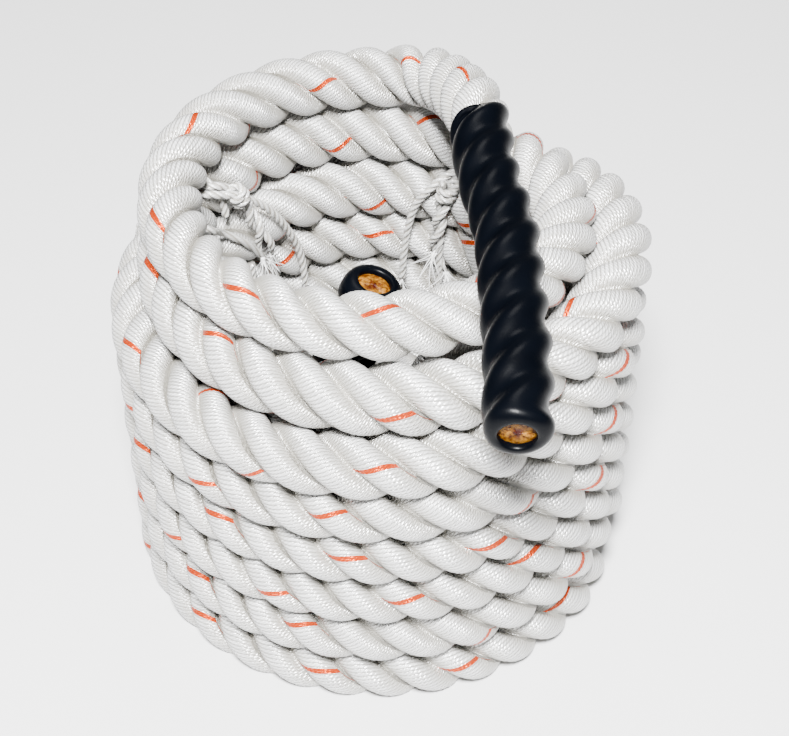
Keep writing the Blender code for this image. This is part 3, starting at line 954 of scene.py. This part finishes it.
def fray(name, path, seed, reach=0.012, spread=0.5, lean=(0.0, 0.0, 0.0)):
    """Loose yarns at a twine's cut end: thin tapered hairs that fan out from its way.

    reach is how long they are, spread how far they fan out, and lean turns their way.
    """
    rng = np.random.default_rng(seed)
    way = path[-1] - path[FRAY_BACK] + np.array(lean)
    way = way / np.linalg.norm(way)
    edit = bmesh.new()
    for _ in range(HAIRS):
        bend = rng.normal(0, spread, 3)
        hair_length = reach * rng.uniform(0.5, 1.1)
        start = path[-1] + rng.normal(0, HAIR_START, 3)
        shares = [step / HAIR_STEPS for step in range(HAIR_STEPS + 1)]
        sag = np.array((0, 0, -HAIR_SAG))
        hair = [start + (way + bend * t + sag * t * t) * hair_length * t for t in shares]
        hair = np.array(hair)
        _, side, other = frames(hair)
        rings = []
        for i, point in enumerate(hair):
            radius = HAIR_RADIUS * (1 - HAIR_TAPER * i / HAIR_STEPS)
            ring = []
            for corner in range(HAIR_SIDES):
                angle = math.tau * corner / HAIR_SIDES
                out = math.cos(angle) * side[i] + math.sin(angle) * other[i]
                ring.append(edit.verts.new(point + radius * out))
            rings.append(ring)
        for a, b in zip(rings, rings[1:]):
            for i in range(HAIR_SIDES):
                after = (i + 1) % HAIR_SIDES
                edit.faces.new((a[i], a[after], b[after], b[i]))
        edit.faces.new(rings[0][::-1])
        edit.faces.new(rings[-1])
    mesh = bpy.data.meshes.new(name)
    edit.to_mesh(mesh)
    edit.free()
    mesh.shade_smooth()
    thing = link(name, mesh)
    thing.data.materials.append(hair_paint)
    return thing


def tie_round_wall(azimuth, over_turn):
    """The tie's loop over, down, under and up the wall of the coil.

    over_turn says whether it passes over the first turn that lies on the columns too.
    """
    reach = TUBE / 2 + TIE_GAP + TIE_HALF
    inner = INNER - reach
    outer = OUTER + reach
    floor_height = TIE_HALF + TIE_FLOOR_GAP
    shoulder = level_height(LEVELS - 1)
    rise = TUBE / 2 + TIE_TOP_GAP
    bend = TUBE / 3
    if over_turn:
        table = np.array(TOP_TURNS, float)
        turn = INNER + float(smooth(table[:, 0], table[:, 1], (azimuth + 360,))[0][0]) * COLUMN_STEP
        top = level_height(LEVELS)
        flank = (turn + TUBE / 2, top + TUBE / 4)
    else:
        turn = INNER
        top = shoulder
        flank = (turn + COLUMN_STEP * 0.8, shoulder + reach)
    path = [
        (turn - reach, top - bend / 2),
        (turn - reach + bend / 2, top + rise - bend / 3),
        (turn + bend / 4, top + rise),
        flank,
        (OUTER + bend / 2, shoulder + reach - bend / 6),
        (outer - bend / 5, shoulder + bend / 2),
        (outer, shoulder - bend),
    ]
    path += [(outer, level_height(level)) for level in range(LEVELS - 2, 0, -1)]
    path += [
        (outer, level_height(0) + bend / 2),
        (outer - bend / 2, floor_height + bend / 8),
        (OUTER, floor_height),
        (INNER, floor_height),
        (inner + bend / 2, floor_height + bend / 8),
        (inner, level_height(0) + bend / 2),
    ]
    path += [(inner, level_height(level)) for level in range(1, LEVELS - 1)]
    path.append((inner, shoulder - bend / 4))
    return [on_coil(azimuth, radius, height) + AXIS for radius, height in path]


# The left tie: two ends over the turns, wound round each other down the wall, a tail, a flat end
# and a knot. The places are read from the photo
first, second = twist_pair(
    over((236, 192, 6.42))
    + down((243, 199, 2.50), (250, 212, 2.40), (257, 226, 2.30), (264, 242, 2.24)),
    1.6,
    0.5,
)
left_a, path_a = twine(
    "tie_left_a",
    over((186, 185, 6.50), (200, 187, 6.60), (217, 186, 6.62)) + first + down((272, 255, 2.24)),
    taper=0.012,
)
left_b, path_b = twine(
    "tie_left_b",
    over((188, 194, 6.45), (204, 194, 6.55), (221, 195, 6.50)) + second + down((262, 256, 2.24)),
    taper=0.012,
)
left_tail, path_tail = twine(
    "tie_left_tail",
    down(
        (246, 199, 2.44),
        (262, 205, 2.34),
        (276, 216, 2.26),
        (288, 230, 2.24),
        (298, 247, 2.24),
        (303, 266, 2.22),
        (305, 284, 2.22),
    ),
)
left_flat, path_flat = twine(
    "tie_left_flat",
    over((196, 223, 6.50), (206, 228, 6.42))
    + down((222, 233, 2.58), (238, 239, 2.40), (254, 249, 2.28), (268, 261, 2.24)),
    diameter=FLAT_TWINE,
    pitch=FLAT_LAY,
    taper=0.010,
)
left_knot = knot(
    "tie_left_knot", seen_at(238, 195, 6.40), seen_on_wall(250, 212, 2.40) - seen_at(226, 188, 6.55)
)
left_hairs = [
    fray("tie_left_fray_1", path_a, 11),
    fray("tie_left_fray_2", path_b, 12),
    fray("tie_left_fray_3", path_tail, 13, reach=0.016),
    fray("tie_left_fray_4", path_flat, 14, reach=0.014),
]

# The right tie: a single length down the wall, a pair wound round each other, and a knot
right_a, path_a = twine(
    "tie_right_a",
    over((464, 170, 5.95))
    + down(
        (452, 173, 2.50),
        (440, 180, 2.36),
        (429, 190, 2.26),
        (419, 200, 2.24),
        (412, 214, 2.24),
        (407, 232, 2.24),
        (404, 252, 2.22),
        (402, 277, 2.22),
    ),
)
first, second = twist_pair(
    down((452, 182, 2.42), (446, 196, 2.32), (441, 212, 2.24), (438, 230, 2.22), (435, 250, 2.22)),
    1.7,
    1.0,
)
right_b, path_b = twine("tie_right_b", over((466, 176, 5.90)) + first, taper=0.010)
right_c, path_c = twine(
    "tie_right_c", over((462, 182, 5.85)) + second + down((446, 272, 2.22)), taper=0.010
)
right_knot = knot(
    "tie_right_knot",
    seen_on_wall(447, 192, 2.30),
    seen_on_wall(440, 214, 2.24) - seen_on_wall(452, 180, 2.42),
)
right_hairs = [
    fray("tie_right_fray_1", path_a, 21, reach=0.014),
    fray("tie_right_fray_2", path_b, 22, reach=0.018, spread=0.7, lean=(-0.001, 0, 0)),
    fray("tie_right_fray_3", path_c, 23),
]

# Each tie's loop is its cord, and stands for its node
for node, azimuth, over_turn, pieces in (
    ("tie_left", 112, True, [left_a, left_b, left_tail, left_flat, left_knot] + left_hairs),
    ("tie_right", 207, False, [right_a, right_b, right_c, right_knot] + right_hairs),
):
    loop, loop_path = twine(node + "_loop", tie_round_wall(azimuth, over_turn))
    for thing in [loop] + pieces:
        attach(thing, "root")
    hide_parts(node)

# The floor
floor_mesh = bpy.data.meshes.new("floor")
edit = bmesh.new()
bmesh.ops.create_grid(edit, x_segments=1, y_segments=1, size=FLOOR_SIZE)
edit.to_mesh(floor_mesh)
edit.free()
floor = link("floor", floor_mesh)
floor.data.materials.append(floor_paint)

# Soft studio light
world = bpy.data.worlds.new("studio")
bpy.context.scene.world = world
world.use_nodes = True
background = world.node_tree.nodes["Background"]
background.inputs["Color"].default_value = (1, 1, 1, 1)
background.inputs["Strength"].default_value = WORLD_LIGHT
for name, place, target, size, power in LAMPS:
    lamp_data = bpy.data.lights.new(name, "AREA")
    lamp_data.shape = "DISK"
    lamp_data.size = size
    lamp_data.energy = power
    lamp = link(name, lamp_data)
    lamp.location = place
    lamp.rotation_euler = (Vector(target) - Vector(place)).to_track_quat("-Z", "Y").to_euler()
